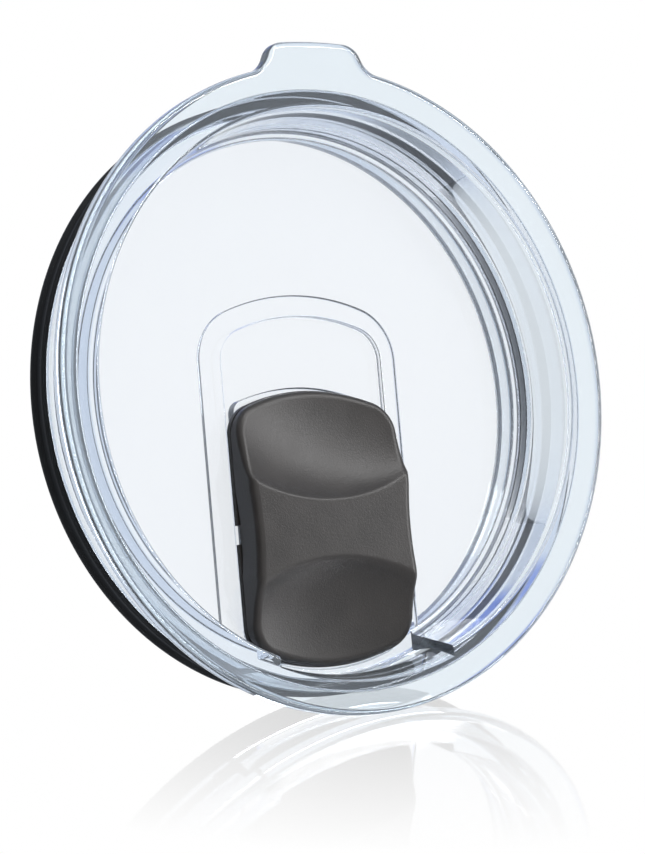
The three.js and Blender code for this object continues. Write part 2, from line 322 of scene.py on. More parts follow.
def addBump(tree, shader, height, settings):
    bump = tree.nodes.new("ShaderNodeBump")
    bump.inputs["Strength"].default_value = settings["bump"]
    bump.inputs["Distance"].default_value = settings["bumpDistance"]
    tree.links.new(height, bump.inputs["Height"])
    tree.links.new(bump.outputs["Normal"], shader.inputs["Normal"])


# the next three make surface effects that the finishes share
def makeMouldTexture():
    # fine spark-eroded texture of a moulding tool: a height and a patchy mask
    tree, start, end = newGroup("mouldTexture", [
        ("Pit Scale", "NodeSocketFloat", 4000.0),
        ("Patch Scale", "NodeSocketFloat", 120.0),
    ], [("Height", "NodeSocketFloat"), ("Patches", "NodeSocketFloat")])
    coords = tree.nodes.new("ShaderNodeTexCoord")
    pits = place(tree, "ShaderNodeTexNoise")
    pits.inputs["Detail"].default_value = 3
    pits.inputs["Roughness"].default_value = 0.6
    patches = place(tree, "ShaderNodeTexNoise")
    patches.inputs["Detail"].default_value = 4
    for noise, label in ((pits, "Pit Scale"), (patches, "Patch Scale")):
        tree.links.new(coords.outputs["Object"], noise.inputs["Vector"])
        tree.links.new(start.outputs[label], noise.inputs["Scale"])
    tree.links.new(pits.outputs["Fac"], end.inputs["Height"])
    tree.links.new(remap(tree, patches.outputs["Fac"], 0, 1, 0.3, 0.7), end.inputs["Patches"])
    return tree


scratchLay = {
    "turns": (0.4, 1.9, 2.7),  # one set of scratches for each direction
    "tilt": (0.3, 0.2),
    "fullAt": 0.85,
}


def makeHairlines():
    # sparse fine scratches from handling, as a mask
    tree, start, end = newGroup("hairlines", [
        ("Scale", "NodeSocketFloat", 60.0),
        ("Stretch", "NodeSocketFloat", 14.0),
        ("Sparseness", "NodeSocketFloat", 0.7),
    ], [("Mask", "NodeSocketFloat")])
    coords = tree.nodes.new("ShaderNodeTexCoord")
    masks = []
    tiltX, tiltY = scratchLay["tilt"]
    for turn in scratchLay["turns"]:
        spin = place(tree, "ShaderNodeMapping")
        spin.inputs["Rotation"].default_value = (tiltX * turn, tiltY * turn, turn)
        tree.links.new(coords.outputs["Object"], spin.inputs["Vector"])
        stretch = place(tree, "ShaderNodeVectorMath", operation="MULTIPLY")
        factors = tree.nodes.new("ShaderNodeCombineXYZ")
        tree.links.new(start.outputs["Stretch"], factors.inputs["X"])
        factors.inputs["Y"].default_value = 1
        factors.inputs["Z"].default_value = 1
        tree.links.new(spin.outputs["Vector"], stretch.inputs[0])
        tree.links.new(factors.outputs["Vector"], stretch.inputs[1])
        lines = place(tree, "ShaderNodeTexNoise")
        lines.inputs["Detail"].default_value = 2
        tree.links.new(stretch.outputs["Vector"], lines.inputs["Vector"])
        tree.links.new(start.outputs["Scale"], lines.inputs["Scale"])
        sharpen = tree.nodes.new("ShaderNodeMapRange")
        tree.links.new(lines.outputs["Fac"], sharpen.inputs["Value"])
        tree.links.new(start.outputs["Sparseness"], sharpen.inputs["From Min"])
        sharpen.inputs["From Max"].default_value = scratchLay["fullAt"]
        masks.append(sharpen.outputs["Result"])
    total = masks[0]
    for mask in masks[1:]:
        larger = place(tree, "ShaderNodeMath", operation="MAXIMUM")
        tree.links.new(total, larger.inputs[0])
        tree.links.new(mask, larger.inputs[1])
        total = larger.outputs[0]
    tree.links.new(total, end.inputs["Mask"])
    return tree


def makeDust():
    # specks of dust, as a mask
    tree, start, end = newGroup("dustSpecks", [
        ("Scale", "NodeSocketFloat", 900.0),
        ("Amount", "NodeSocketFloat", 0.08),
    ], [("Mask", "NodeSocketFloat")])
    coords = tree.nodes.new("ShaderNodeTexCoord")
    cells = place(tree, "ShaderNodeTexVoronoi")
    tree.links.new(coords.outputs["Object"], cells.inputs["Vector"])
    tree.links.new(start.outputs["Scale"], cells.inputs["Scale"])
    inside = place(tree, "ShaderNodeMath", operation="LESS_THAN")
    tree.links.new(cells.outputs["Distance"], inside.inputs[0])
    tree.links.new(start.outputs["Amount"], inside.inputs[1])
    tree.links.new(inside.outputs[0], end.inputs["Mask"])
    return tree


mouldTexture = makeMouldTexture()
hairlines = makeHairlines()
dustSpecks = makeDust()
print("shared surface effects ready")


clearSettings = {
    "tint": (0.915, 0.938, 0.962),
    # the rim colour is a painted reflection: a bluer tint towards the rim that stands in for
    # bands of blue refracted light
    "paintedRimBlue": (0.83, 0.89, 0.925),
    "paintedBlueFrom": 40.5,  # the painted blue near the rim comes in between these two radii
    "rimTo": 45.5,
    "tintWorn": (0.80, 0.83, 0.87),
    "wornShare": 0.4,
    "ior": 1.55,
    "transmission": 0.955,
    "roughLow": 0.0,
    "roughHigh": 0.05,
    "absorbColour": (0.72, 0.82, 1.0),
    "absorbDensity": 12.0,
    "grain": {"Pit Scale": 60.0, "Patch Scale": 22.0},
    "scratches": {"Scale": 90.0, "Stretch": 16.0, "Sparseness": 0.68},
    "bump": 0.02,
    "bumpDistance": 0.0002,
}


def makeClearPlastic(name, settings):
    material, tree, shader, output = newMaterial(name)
    shader.inputs["Transmission Weight"].default_value = settings["transmission"]
    shader.inputs["IOR"].default_value = settings["ior"]
    grain = useGroup(tree, mouldTexture, **settings["grain"])
    lines = useGroup(tree, hairlines, **settings["scratches"])
    coords = tree.nodes.new("ShaderNodeTexCoord")
    flat = place(tree, "ShaderNodeVectorMath", operation="MULTIPLY")
    flat.inputs[1].default_value = (1, 1, 0)
    tree.links.new(coords.outputs["Object"], flat.inputs[0])
    radius = place(tree, "ShaderNodeVectorMath", operation="LENGTH")
    tree.links.new(flat.outputs["Vector"], radius.inputs[0])
    # painted reflection: the tint turns bluer towards the rim, standing in for bands of blue
    # refracted light
    paintedBlueShare = remap(tree, radius.outputs["Value"], 0, 1,
                     settings["paintedBlueFrom"] * mm, settings["rimTo"] * mm)
    tint = blendColours(tree, paintedBlueShare, settings["tint"], settings["paintedRimBlue"])
    worn = place(tree, "ShaderNodeMix", data_type="RGBA")
    tree.links.new(remap(tree, lines.outputs["Mask"], 0, settings["wornShare"]),
                   worn.inputs["Factor"])
    tree.links.new(tint, worn.inputs["A"])
    worn.inputs["B"].default_value = (*settings["tintWorn"], 1)
    tree.links.new(worn.outputs["Result"], shader.inputs["Base Color"])
    rough = remap(tree, lines.outputs["Mask"], settings["roughLow"], settings["roughHigh"])
    tree.links.new(rough, shader.inputs["Roughness"])
    addBump(tree, shader, grain.outputs["Height"], settings)
    absorb = tree.nodes.new("ShaderNodeVolumeAbsorption")
    absorb.inputs["Color"].default_value = (*settings["absorbColour"], 1)
    absorb.inputs["Density"].default_value = settings["absorbDensity"]
    tree.links.new(absorb.outputs["Volume"], output.inputs["Volume"])
    return material


sliderSettings = {
    "colour": (0.030, 0.0265, 0.0235),
    "colourPatch": (0.036, 0.0315, 0.028),
    "roughLow": 0.29,
    "roughHigh": 0.35,
    "specular": 0.32,
    "scratchGloss": 0.03,
    "grain": {"Pit Scale": 3600.0, "Patch Scale": 160.0},
    "scratches": {"Scale": 160.0, "Stretch": 12.0, "Sparseness": 0.7},
    "bump": 0.35,
    "bumpDistance": 0.00008,
}


def makeSliderPlastic(name, settings):
    material, tree, shader, output = newMaterial(name)
    grain = useGroup(tree, mouldTexture, **settings["grain"])
    lines = useGroup(tree, hairlines, **settings["scratches"])
    tree.links.new(blendColours(tree, grain.outputs["Patches"], settings["colour"],
                                settings["colourPatch"]), shader.inputs["Base Color"])
    rough = remap(tree, grain.outputs["Patches"], settings["roughLow"], settings["roughHigh"])
    polished = place(tree, "ShaderNodeMath", operation="MULTIPLY_ADD")
    tree.links.new(lines.outputs["Mask"], polished.inputs[0])
    polished.inputs[1].default_value = -settings["scratchGloss"]
    tree.links.new(rough, polished.inputs[2])
    tree.links.new(polished.outputs[0], shader.inputs["Roughness"])
    shader.inputs["Specular IOR Level"].default_value = settings["specular"]
    addBump(tree, shader, grain.outputs["Height"], settings)
    return material


rubberSettings = {
    "colour": (0.011, 0.012, 0.013),
    "colourDust": (0.03, 0.032, 0.034),
    "roughLow": 0.55,
    "roughHigh": 0.7,
    "specular": 0.25,
    "grain": {"Pit Scale": 2200.0, "Patch Scale": 90.0},
    "dust": {"Scale": 700.0, "Amount": 0.09},
    "bump": 0.2,
    "bumpDistance": 0.00008,
}


def makeGasketRubber(name, settings):
    material, tree, shader, output = newMaterial(name)
    grain = useGroup(tree, mouldTexture, **settings["grain"])
    dust = useGroup(tree, dustSpecks, **settings["dust"])
    tree.links.new(blendColours(tree, dust.outputs["Mask"], settings["colour"],
                                settings["colourDust"]), shader.inputs["Base Color"])
    rough = remap(tree, grain.outputs["Patches"], settings["roughLow"], settings["roughHigh"])
    tree.links.new(rough, shader.inputs["Roughness"])
    shader.inputs["Specular IOR Level"].default_value = settings["specular"]
    addBump(tree, shader, grain.outputs["Height"], settings)
    return material


magnetSettings = {
    "colour": (0.62, 0.62, 0.60),
    "colourDull": (0.45, 0.45, 0.44),
    "roughLow": 0.18,
    "roughHigh": 0.38,
    "grain": {"Pit Scale": 2600.0, "Patch Scale": 300.0},
    "scratches": {"Scale": 260.0, "Stretch": 10.0, "Sparseness": 0.6},
    "bump": 0.15,
    "bumpDistance": 0.00004,
}


def makeMagnetMetal(name, settings):
    material, tree, shader, output = newMaterial(name)
    shader.inputs["Metallic"].default_value = 1.0
    grain = useGroup(tree, mouldTexture, **settings["grain"])
    lines = useGroup(tree, hairlines, **settings["scratches"])
    tree.links.new(blendColours(tree, grain.outputs["Patches"], settings["colour"],
                                settings["colourDull"]), shader.inputs["Base Color"])
    rough = remap(tree, lines.outputs["Mask"], settings["roughLow"], settings["roughHigh"])
    tree.links.new(rough, shader.inputs["Roughness"])
    addBump(tree, shader, grain.outputs["Height"], settings)
    return material


clearPlastic = makeClearPlastic("clearPlastic", clearSettings)
sliderPlastic = makeSliderPlastic("sliderPlastic", sliderSettings)
gasketRubber = makeGasketRubber("gasketRubber", rubberSettings)
magnetMetal = makeMagnetMetal("magnetMetal", magnetSettings)
print("finishes ready")


# the clear lid body: flange, wall and floor turned about Z, then the track and sip opening
shell = {
    "flangeThickness": 3.0,
    "flangeEdgeRound": 1.1,
    "flangeEdgeSteps": 8,
    "tabWidth": 18.0,
    "tabCornerRadius": 3.6,
    "tabRootRadius": 4.0,
    "tabCrown": 0.5,
    "tabSteps": 12,
    "crownSteps": 16,
    "wellMouthRadius": 43.4,
    "wellDepth": 11.0,
    "wellDraft": 2.4,
    "wellEdgeRound": 0.7,
    "wellFloorFillet": 1.2,
    "floorThickness": 1.6,
    "wallOuterRadius": 46.0,
    "grooveRadius": 44.4,
    "grooveTopDepth": 11.4,
    "grooveBottomDepth": 16.2,
    "grooveRound": 0.2,
    "grooveEdgeRound": 0.25,
    "retainerRadius": 44.9,
    "retainerLand": 0.5,
    "retainerEdgeRound": 0.1,
    "skirtInnerRadius": 41.2,
    "skirtFootOuterRadius": 43.8,
    "wallFillet": 0.5,
    "footRound": 0.3,
    "turnSteps": 336,
}
floorTop = flangeTop - shell["wellDepth"]
floorUnderside = floorTop - shell["floorThickness"]
wellFloorRadius = shell["wellMouthRadius"] - shell["wellDraft"]

# the track that the slider runs in, sunk into the well floor
track = {
    "depth": 1.0,
    "sideClearance": 0.25,
    "endClearance": 0.3,
    "rimRound": 0.25,
    "floorRound": 0.2,
    "bossMargin": 3.4,
    "bossStep": 1.0,
    "bossRound": 0.35,
    "bossOverlap": 0.8,
}
trackFloor = floorTop - track["depth"]
sliderSlot = {
    "halfWidth": baseHigh.x,
    "yLow": baseLow.y,
    "yHigh": baseHigh.y,
    "endRadius": 32.0,
    "cornerRadius": 5.0,
}
trackSlot = {
    "halfWidth": sliderSlot["halfWidth"] + track["sideClearance"],
    "yLow": sliderSlot["yLow"] - track["endClearance"],
    "yHigh": sliderSlot["yHigh"] + travel + track["endClearance"],
    "endRadius": sliderSlot["endRadius"] + track["endClearance"],
    "cornerRadius": sliderSlot["cornerRadius"] + track["sideClearance"],
}
sip = {
    "frontLand": 1.6,
    "length": 8.2,
    "width": 22.0,
    "endRadius": 40.0,
    "cornerRadius": 2.0,
    "rimRound": 0.3,
    "notchMargin": 1.4,
    "notchRadius": 43.4,
    "notchFootRound": 0.5,
    "notchBack": 25.0,
    "flareRadius": 45.0,
    "flareDepth": 5.5,
    "flareBend": 6.0,
    "flareRunout": 0.2,
    "cutterBore": 20.0,
}
magnetSeat = {
    "fit": 0.15,
    "overlap": 0.2,
    "bossLand": 1.2,
    "bossPast": 0.8,
    "bossRound": 0.3,
}
coverShape = {
    "cornerRadius": 1.0,
    "endArc": 4.0,  # radius of the arched ends, in half widths
    "edgeRound": 0.15,
}


def flangeOutline(inset):
    # the flange's round edge with the lifting tab run into it, moved in by an inset
    half = shell["tabWidth"] / 2
    corner, root = shell["tabCornerRadius"], shell["tabRootRadius"]
    crown = (half ** 2 + shell["tabCrown"] ** 2) / (2 * shell["tabCrown"])
    crownCentre = tabTip - crown
    crownSwing = math.asin((half - corner) / (crown - corner))
    cornerX = half - corner
    cornerY = crownCentre + (crown - corner) * math.cos(crownSwing)
    orbit = flangeRadius + root
    cornerReach = math.hypot(cornerX, cornerY)
    lean = math.acos((orbit ** 2 + cornerReach ** 2 - (corner + root) ** 2)
                     / (2 * orbit * cornerReach))
    rootAngle = math.atan2(cornerY, cornerX) - lean
    rootX, rootY = orbit * math.cos(rootAngle), orbit * math.sin(rootAngle)
    contact = math.atan2(rootY - cornerY, rootX - cornerX)
    upright, pi = math.pi / 2, math.pi
    outline = arcPoints(0, 0, flangeRadius - inset, pi - rootAngle, 2 * pi + rootAngle,
                        shell["turnSteps"])[:-1]
    steps = shell["tabSteps"]
    outline += arcPoints(rootX, rootY, root + inset, rootAngle + pi, contact + pi, steps)[:-1]
    outline += arcPoints(cornerX, cornerY, corner - inset, contact,
                         upright - crownSwing, steps)[:-1]
    outline += arcPoints(0, crownCentre, crown - inset, upright - crownSwing,
                         upright + crownSwing, shell["crownSteps"])[:-1]
    outline += arcPoints(-cornerX, cornerY, corner - inset, upright + crownSwing,
                         pi - contact, steps)[:-1]
    outline += arcPoints(-rootX, rootY, root + inset, -contact, -rootAngle, steps)[:-1]
    return outline


def lidShell():
    # one skin from under the floor, out round the skirt and flange and back down the well
    edge, edgeSteps = shell["flangeEdgeRound"], shell["flangeEdgeSteps"]
    underside = flangeTop - shell["flangeThickness"]
    grooveTop = flangeTop - shell["grooveTopDepth"]
    retainerTop = flangeTop - shell["grooveBottomDepth"]
    foot, groove = shell["footRound"], shell["grooveRound"]
    angles = [math.atan2(y, x) for x, y in flangeOutline(0)]

    def circles(path):
        return [[(r * math.cos(a), r * math.sin(a), z) for a in angles] for r, z in path]

    outer = roundedPath([
        (0.0, floorUnderside, 0),
        (shell["skirtInnerRadius"], floorUnderside, shell["wallFillet"]),
        (shell["skirtInnerRadius"], skirtFoot, foot),
        (shell["skirtFootOuterRadius"], skirtFoot, foot),
        (shell["retainerRadius"], retainerTop - shell["retainerLand"], groove),
        (shell["retainerRadius"], retainerTop, shell["retainerEdgeRound"]),
        (shell["grooveRadius"], retainerTop, groove),
        (shell["grooveRadius"], grooveTop, groove),
        (shell["wallOuterRadius"], grooveTop, shell["grooveEdgeRound"]),
        (shell["wallOuterRadius"], underside, shell["wallFillet"]),
        (flangeRadius - edge, underside, 0),
    ])[1:-1]
    inner = roundedPath([
        (flangeRadius - edge, flangeTop, 0),
        (shell["wellMouthRadius"], flangeTop, shell["wellEdgeRound"]),
        (wellFloorRadius, floorTop, shell["wellFloorFillet"]),
        (0.0, floorTop, 0),
    ], steps=10)[1:-1]
    rings = [[(0, 0, floorUnderside)]] + circles(outer)
    for middle, start in ((underside + edge, -90), (flangeTop - edge, 0)):
        for i in range(edgeSteps + 1):
            angle = math.radians(start + 90 * i / edgeSteps)
            outline = flangeOutline(edge * (1 - math.cos(angle)))
            rings.append([(x, y, middle + edge * math.sin(angle)) for x, y in outline])
    rings += circles(inner) + [[(0, 0, floorTop)]]
    return loft("lidBody", rings)


def trackBoss():
    # thickens the floor under the track and stops inside the skirt
    steps = edgeRound(track["bossRound"], floorUnderside - track["bossStep"], -1)
    steps.append((0.0, floorUnderside + track["bossOverlap"]))
    steps = [(grow + track["bossMargin"], z) for grow, z in steps]
    boss = slotSolid("trackBoss", trackSlot, steps)
    reach = (shell["skirtInnerRadius"] + shell["grooveRadius"]) / 2
    limits = discSolid("skirtReach", reach, -past, floorTop - past / 2, 0, 0, steps=256)
    combine(boss, limits, "INTERSECT")
    return boss


def magnetBoss():
    land = magnetSeat["bossLand"]
    slot = {
        "halfWidth": coverHigh.x + land,
        "yLow": coverLow.y - land,
        "yHigh": sliderSlot["yHigh"] + magnetSeat["bossPast"],
        "endRadius": sliderSlot["endRadius"],
        "cornerRadius": coverShape["cornerRadius"] + land,
    }
    steps = edgeRound(magnetSeat["bossRound"], 0.0, -1) + [(0.0, floorUnderside)]
    return slotSolid("magnetBoss", slot, steps)


def sipNotch():
    # the well wall is cut back in front of the sip opening and flares towards the flange
    path = roundedPath([
        (sip["cutterBore"], floorTop, 0),
        (sip["notchRadius"], floorTop, sip["notchFootRound"]),
        (sip["notchRadius"], flangeTop - sip["flareDepth"], sip["flareBend"]),
        (sip["flareRadius"], flangeTop, 0),
        (sip["flareRadius"] + sip["flareRunout"], flangeTop + past, 0),
        (sip["cutterBore"], flangeTop + past, 0),
    ], steps=8)
    cutter = turned("sipNotch", path, shell["turnSteps"])
    halfWidth = sliderSlot["halfWidth"] + sip["notchMargin"]
    limits = boxSolid("notchLimits", (-halfWidth, -flangeRadius, floorTop - past),
                      (halfWidth, -sip["notchBack"], flangeTop + 2 * past))
    combine(cutter, limits, "INTERSECT")
    return cutter


def trackRecess():
    steps = edgeRound(track["floorRound"], trackFloor, -1)
    steps += rimRound(track["rimRound"], floorTop)
    steps.append((track["rimRound"], flangeTop + past))
    return slotSolid("trackRecess", trackSlot, steps)


def sipOpening():
    front = sliderSlot["yLow"] + sip["frontLand"]
    slot = {
        "halfWidth": sip["width"] / 2,
        "yLow": front,
        "yHigh": front + sip["length"],
        "endRadius": sip["endRadius"],
        "cornerRadius": sip["cornerRadius"],
    }
    rim = sip["rimRound"]
    lowerRim = [(grow, -z) for grow, z in reversed(rimRound(rim, 0.0))]
    steps = [(rim, -past)] + lowerRim + rimRound(rim, trackFloor) + [(rim, floorTop + past)]
    return slotSolid("sipOpening", slot, steps)


def coverSlot(grow):
    # outline of the magnet cover, and of its recess when grown by the fit
    return {
        "halfWidth": coverHigh.x + grow,
        "yLow": coverLow.y - grow,
        "yHigh": coverHigh.y + grow,
        "endRadius": coverHigh.x * coverShape["endArc"] + grow,
        "cornerRadius": coverShape["cornerRadius"] + grow,
    }


def coverRecess():
    fit = magnetSeat["fit"]
    return slotSolid("coverRecess", coverSlot(fit), [(0, -past), (0, coverHigh.z + fit / 2)])


def magnetPocket(node):
    middle, radius, _, top = discMm(node)
    fit = magnetSeat["fit"]
    return discSolid("pocket", radius + fit, coverHigh.z - magnetSeat["overlap"], top + fit,
                     middle.x, middle.y)


def buildLidBody():
    body = lidShell()
    combine(body, trackBoss(), "UNION")
    combine(body, magnetBoss(), "UNION")
    for makeCutter in (sipNotch, trackRecess, sipOpening, coverRecess):
        combine(body, makeCutter(), "DIFFERENCE")
    for node in lidMagnets:
        combine(body, magnetPocket(node), "DIFFERENCE")
    smoothed(body)
    return finished(body, clearPlastic, "lid", "lid_body")


lidBody = buildLidBody()
print("lid body:", len(lidBody.data.polygons), "faces")


def buildMagnetCover():
    # a thin plate that closes the boss under the lid's four magnets
    steps = edgeRound(coverShape["edgeRound"], 0.0, -1) + [(0.0, coverHigh.z)]
    cover = slotSolid("magnetCover", coverSlot(0), steps)
    smoothed(cover)
    finished(cover, clearPlastic, "lid", "lid_magnet_cover")


buildMagnetCover()
print("magnet cover done")


gasketShape = {
    "fit": 0.15,
    "bodyRadius": 45.8,
    "lipRadius": 46.4,
    "lipThickness": 0.7,
    "lipPitch": 2.9,
    "firstLip": 0.95,  # from the gasket's top down to its upper lip's underside
    "lipRoot": 0.5,
    "innerRound": 0.15,
    "outerRound": 0.2,
    "rootRound": 0.3,
    "lipRound": 0.12,
    "shoulderRound": 0.25,
    "turnSteps": 288,
}


def buildGasket():
    g = gasketShape
    top, bottom = gasketHigh.z, gasketLow.z
    inner = shell["grooveRadius"] + g["fit"]
    thick, root = g["lipThickness"], g["lipRoot"]
    corners = [
        (inner, bottom, g["innerRound"]),
        (g["bodyRadius"] - root / 2, bottom, g["outerRound"]),
    ]
    for lip in (1, 0):
        lipTop = top - g["firstLip"] - lip * g["lipPitch"] + thick
        corners += [
            (g["bodyRadius"], lipTop - thick - root, g["rootRound"]),
            (g["lipRadius"], lipTop - thick, g["outerRound"]),
            (g["lipRadius"], lipTop - thick / 3, g["lipRound"]),
            (g["lipRadius"] - thick / 3, lipTop, g["lipRound"]),
            (g["bodyRadius"], lipTop + root / 3, g["shoulderRound"]),
        ]
    corners += [(g["bodyRadius"], top, g["outerRound"]), (inner, top, g["innerRound"])]
    closed = [corners[-1]] + corners + [corners[0]]
    gasket = turned("lidGasket", roundedPath(closed, steps=4)[1:-1], g["turnSteps"])
    smoothed(gasket, sharpAngle=40)
    finished(gasket, gasketRubber, "lid", "lid_gasket")


buildGasket()
print("gasket done")


cap = {
    "overhang": 0.2,
    "endInset": 0.1,
    "footRound": 0.15,
    "edgeRound": 1.1,
    "waistDepth": 0.4,
    "waistLength": 13.0,
    "waistFade": 12.0,  # the waist dies away from this half width to the middle
    "gripForward": 0.5,
    "scoopHalfLength": 15.8,
    "scoopHalfWidth": 23.5,
    "scoopHalfHeight": 6.0,
    "scoopRise": 2.0,
    "scoopRunout": 4.0,
    "ridgeWidth": 9.2,
    "backSoftness": 0.3,
    "frontSoftness": 0.8,
    "cavityMargin": 1.55,
    "cavityHeadroom": 0.4,
    "outlineSteps": {"cornerSteps": 24, "endSteps": 72, "sideSteps": 84},
    "wallSteps": 3,
    "edgeSteps": 8,
    "rings": 120,
}
gripMiddle = (sliderSlot["yLow"] + sliderSlot["yHigh"]) / 2 - cap["gripForward"]
ridgeTop = capHigh.z


def scoopHeight(x, y, direction):
    # a thumb scoop sunk by an ellipsoid: +1 is behind the grip ridge, -1 in front of it
    share = math.sqrt(1 - (cap["scoopRise"] / cap["scoopHalfHeight"]) ** 2)
    centre = gripMiddle + direction * (cap["ridgeWidth"] / 2 + cap["scoopHalfLength"] * share)
    inside = 1 - (x / cap["scoopHalfWidth"]) ** 2 - ((y - centre) / cap["scoopHalfLength"]) ** 2
    if inside <= 0:
        return ridgeTop + cap["scoopRunout"] - cap["scoopRunout"] * inside
    return ridgeTop + cap["scoopRise"] - cap["scoopHalfHeight"] * math.sqrt(inside)


def softMin(a, b, softness):
    # the smaller of two heights, blended where they come within the softness
    gap = max(softness - abs(a - b), 0) / softness
    return min(a, b) - gap * gap * softness / 4


def capTop(x, y):
    height = softMin(ridgeTop, scoopHeight(x, y, 1), cap["backSoftness"])
    return softMin(height, scoopHeight(x, y, -1), cap["frontSoftness"])


def waisted(x, y):
    # each side of the cap is hollowed a little between the scoops
    half = cap["waistLength"] / 2
    away = abs(y - gripMiddle) / half
    pull = cap["waistDepth"] * (1 - away * away) if away < 1 else 0
    return x - math.copysign(pull, x) * min(1, abs(x) / cap["waistFade"]) ** 4


def buildSliderCap():
    slot = {
        "halfWidth": capHigh.x,
        "yLow": capLow.y,
        "yHigh": capHigh.y,
        "endRadius": sliderSlot["endRadius"] - cap["endInset"],
        "cornerRadius": sliderSlot["cornerRadius"] + cap["overhang"],
    }
    edge, foot, steps = cap["edgeRound"], cap["footRound"], cap["outlineSteps"]
    side = archedOutline(slot, 0, **steps)
    rings = [[(x, y, capLow.z) for x, y in archedOutline(slot, -foot, **steps)],
             [(x, y, capLow.z + foot) for x, y in side]]
    for i in range(1, cap["wallSteps"] + 1):
        ring = []
        for x, y in side:
            wall = capTop(x, y) - edge - capLow.z - foot
            ring.append((x, y, capLow.z + foot + wall * i / cap["wallSteps"]))
        rings.append(ring)
    for i in range(1, cap["edgeSteps"] + 1):
        angle = math.radians(90 * i / cap["edgeSteps"])
        outline = archedOutline(slot, edge * (math.cos(angle) - 1), **steps)
        drop = edge * (1 - math.sin(angle))
        rings.append([(x, y, capTop(x, y) - drop) for x, y in outline])
    # the top is filled by the same outline shrinking to the middle
    last = archedOutline(slot, -edge, **steps)
    middle = (slot["yLow"] + slot["yHigh"]) / 2
    for i in range(1, cap["rings"]):
        share = 1 - i / cap["rings"]
        ring = [(x * share, middle + (y - middle) * share) for x, y in last]
        rings.append([(x, y, capTop(x, y)) for x, y in ring])
    rings.append([(0, middle, capTop(0, middle))])
    rings = [[(waisted(x, y), y, z) for x, y, z in ring] for ring in rings]
    piece = loft("sliderCap", rings)
    # the hollow under the ridge clears the base's magnet cups
    magnetLow, magnetHigh = boxMm("slider_magnet_right")
    reachX = magnetHigh.x + cap["cavityMargin"]
    reachY = (magnetHigh.x - magnetLow.x) / 2 + cap["cavityMargin"]
    cavity = boxSolid("cavity", (-reachX, gripMiddle - reachY, capLow.z - past),
                      (reachX, gripMiddle + reachY, baseHigh.z + cap["cavityHeadroom"]))
    combine(piece, cavity, "DIFFERENCE")
    smoothed(piece, sharpAngle=40)
    finished(piece, sliderPlastic, "slider", "slider_cap")


basePlate = {
    "thickness": 1.0,
    "edgeRound": 0.12,
    "magnetFit": 0.15,
    "cupWall": 1.0,
    "cupOverlap": 0.5,
    "notchDepth": 0.9,
    "notchHalfWidth": 1.45,
}


def buildSliderBase():
    fit, edge = basePlate["magnetFit"], basePlate["edgeRound"]
    plateTop = baseLow.z + basePlate["thickness"]
    steps = edgeRound(edge, baseLow.z, -1) + edgeRound(edge, plateTop, 1)
    piece = slotSolid("sliderBase", sliderSlot, steps)
    for node in sliderMagnets:
        middle, radius, bottom, _ = discMm(node)
        radius += fit
        cup = discSolid("cup", radius + basePlate["cupWall"], plateTop - basePlate["cupOverlap"],
                        baseHigh.z, middle.x, middle.y)
        combine(piece, cup, "UNION")
        seat = discSolid("seat", radius, bottom - fit / 2, baseHigh.z + past, middle.x, middle.y)
        combine(piece, seat, "DIFFERENCE")
    halfNotch = basePlate["notchHalfWidth"]
    for side in (-1, 1):
        rim = side * sliderSlot["halfWidth"]
        xLow, xHigh = sorted((rim - side * basePlate["notchDepth"], rim + side * past))
        notch = boxSolid("notch", (xLow, gripMiddle - halfNotch, baseLow.z - past),
                         (xHigh, gripMiddle + halfNotch, plateTop + past))
        combine(piece, notch, "DIFFERENCE")
    smoothed(piece, sharpAngle=40)
    finished(piece, sliderPlastic, "slider", "slider_base")


buildSliderCap()
buildSliderBase()
print("slider done")


magnetDisc = {"edgeChamfer": 0.15}


def buildMagnet(node, body):
    middle, radius, bottom, top = discMm(node)
    first, *others = node.split("_")
    name = first + "".join(word.capitalize() for word in others)
    disc = discSolid(name, radius, bottom, top, middle.x, middle.y, magnetDisc["edgeChamfer"])
    smoothed(disc, sharpAngle=50)
    finished(disc, magnetMetal, body, node)


for node in lidMagnets:
    buildMagnet(node, "lid")
for node in sliderMagnets:
    buildMagnet(node, "slider")
print("magnets done")


stand = {
    "gap": 0.1,
    "contactInset": 0.3,
    "size": 300.0,
    "mirror": 0.34,
    "fadeStart": 2.0,
    "fadeEnd": 72.0,
    "blur": 0.04,
}


def makeFloorGloss(contact):
    # a faint mirror near the contact point, gone further out and from below
    material = bpy.data.materials.new("paleFloor")
    material.use_nodes = True
    tree = material.node_tree
    tree.nodes.clear()
    output = tree.nodes.new("ShaderNodeOutputMaterial")
    clear = tree.nodes.new("ShaderNodeBsdfTransparent")
    gloss = tree.nodes.new("ShaderNodeBsdfGlossy")
    gloss.inputs["Color"].default_value = (1, 1, 1, 1)
    gloss.inputs["Roughness"].default_value = stand["blur"]
    mix = tree.nodes.new("ShaderNodeMixShader")
    geometry = tree.nodes.new("ShaderNodeNewGeometry")
    away = place(tree, "ShaderNodeVectorMath", operation="DISTANCE")
    tree.links.new(geometry.outputs["Position"], away.inputs[0])
    away.inputs[1].default_value = contact * mm
    fade = remap(tree, away.outputs["Value"], stand["mirror"], 0.0,
                 stand["fadeStart"] * mm, stand["fadeEnd"] * mm)
    front = place(tree, "ShaderNodeMath", operation="SUBTRACT")
    front.inputs[0].default_value = 1.0
    tree.links.new(geometry.outputs["Backfacing"], front.inputs[1])
    share = place(tree, "ShaderNodeMath", operation="MULTIPLY")
    tree.links.new(front.outputs[0], share.inputs[0])
    tree.links.new(fade, share.inputs[1])
    tree.links.new(share.outputs[0], mix.inputs["Fac"])
    tree.links.new(clear.outputs[0], mix.inputs[1])
    tree.links.new(gloss.outputs[0], mix.inputs[2])
    tree.links.new(mix.outputs[0], output.inputs["Surface"])
    return material


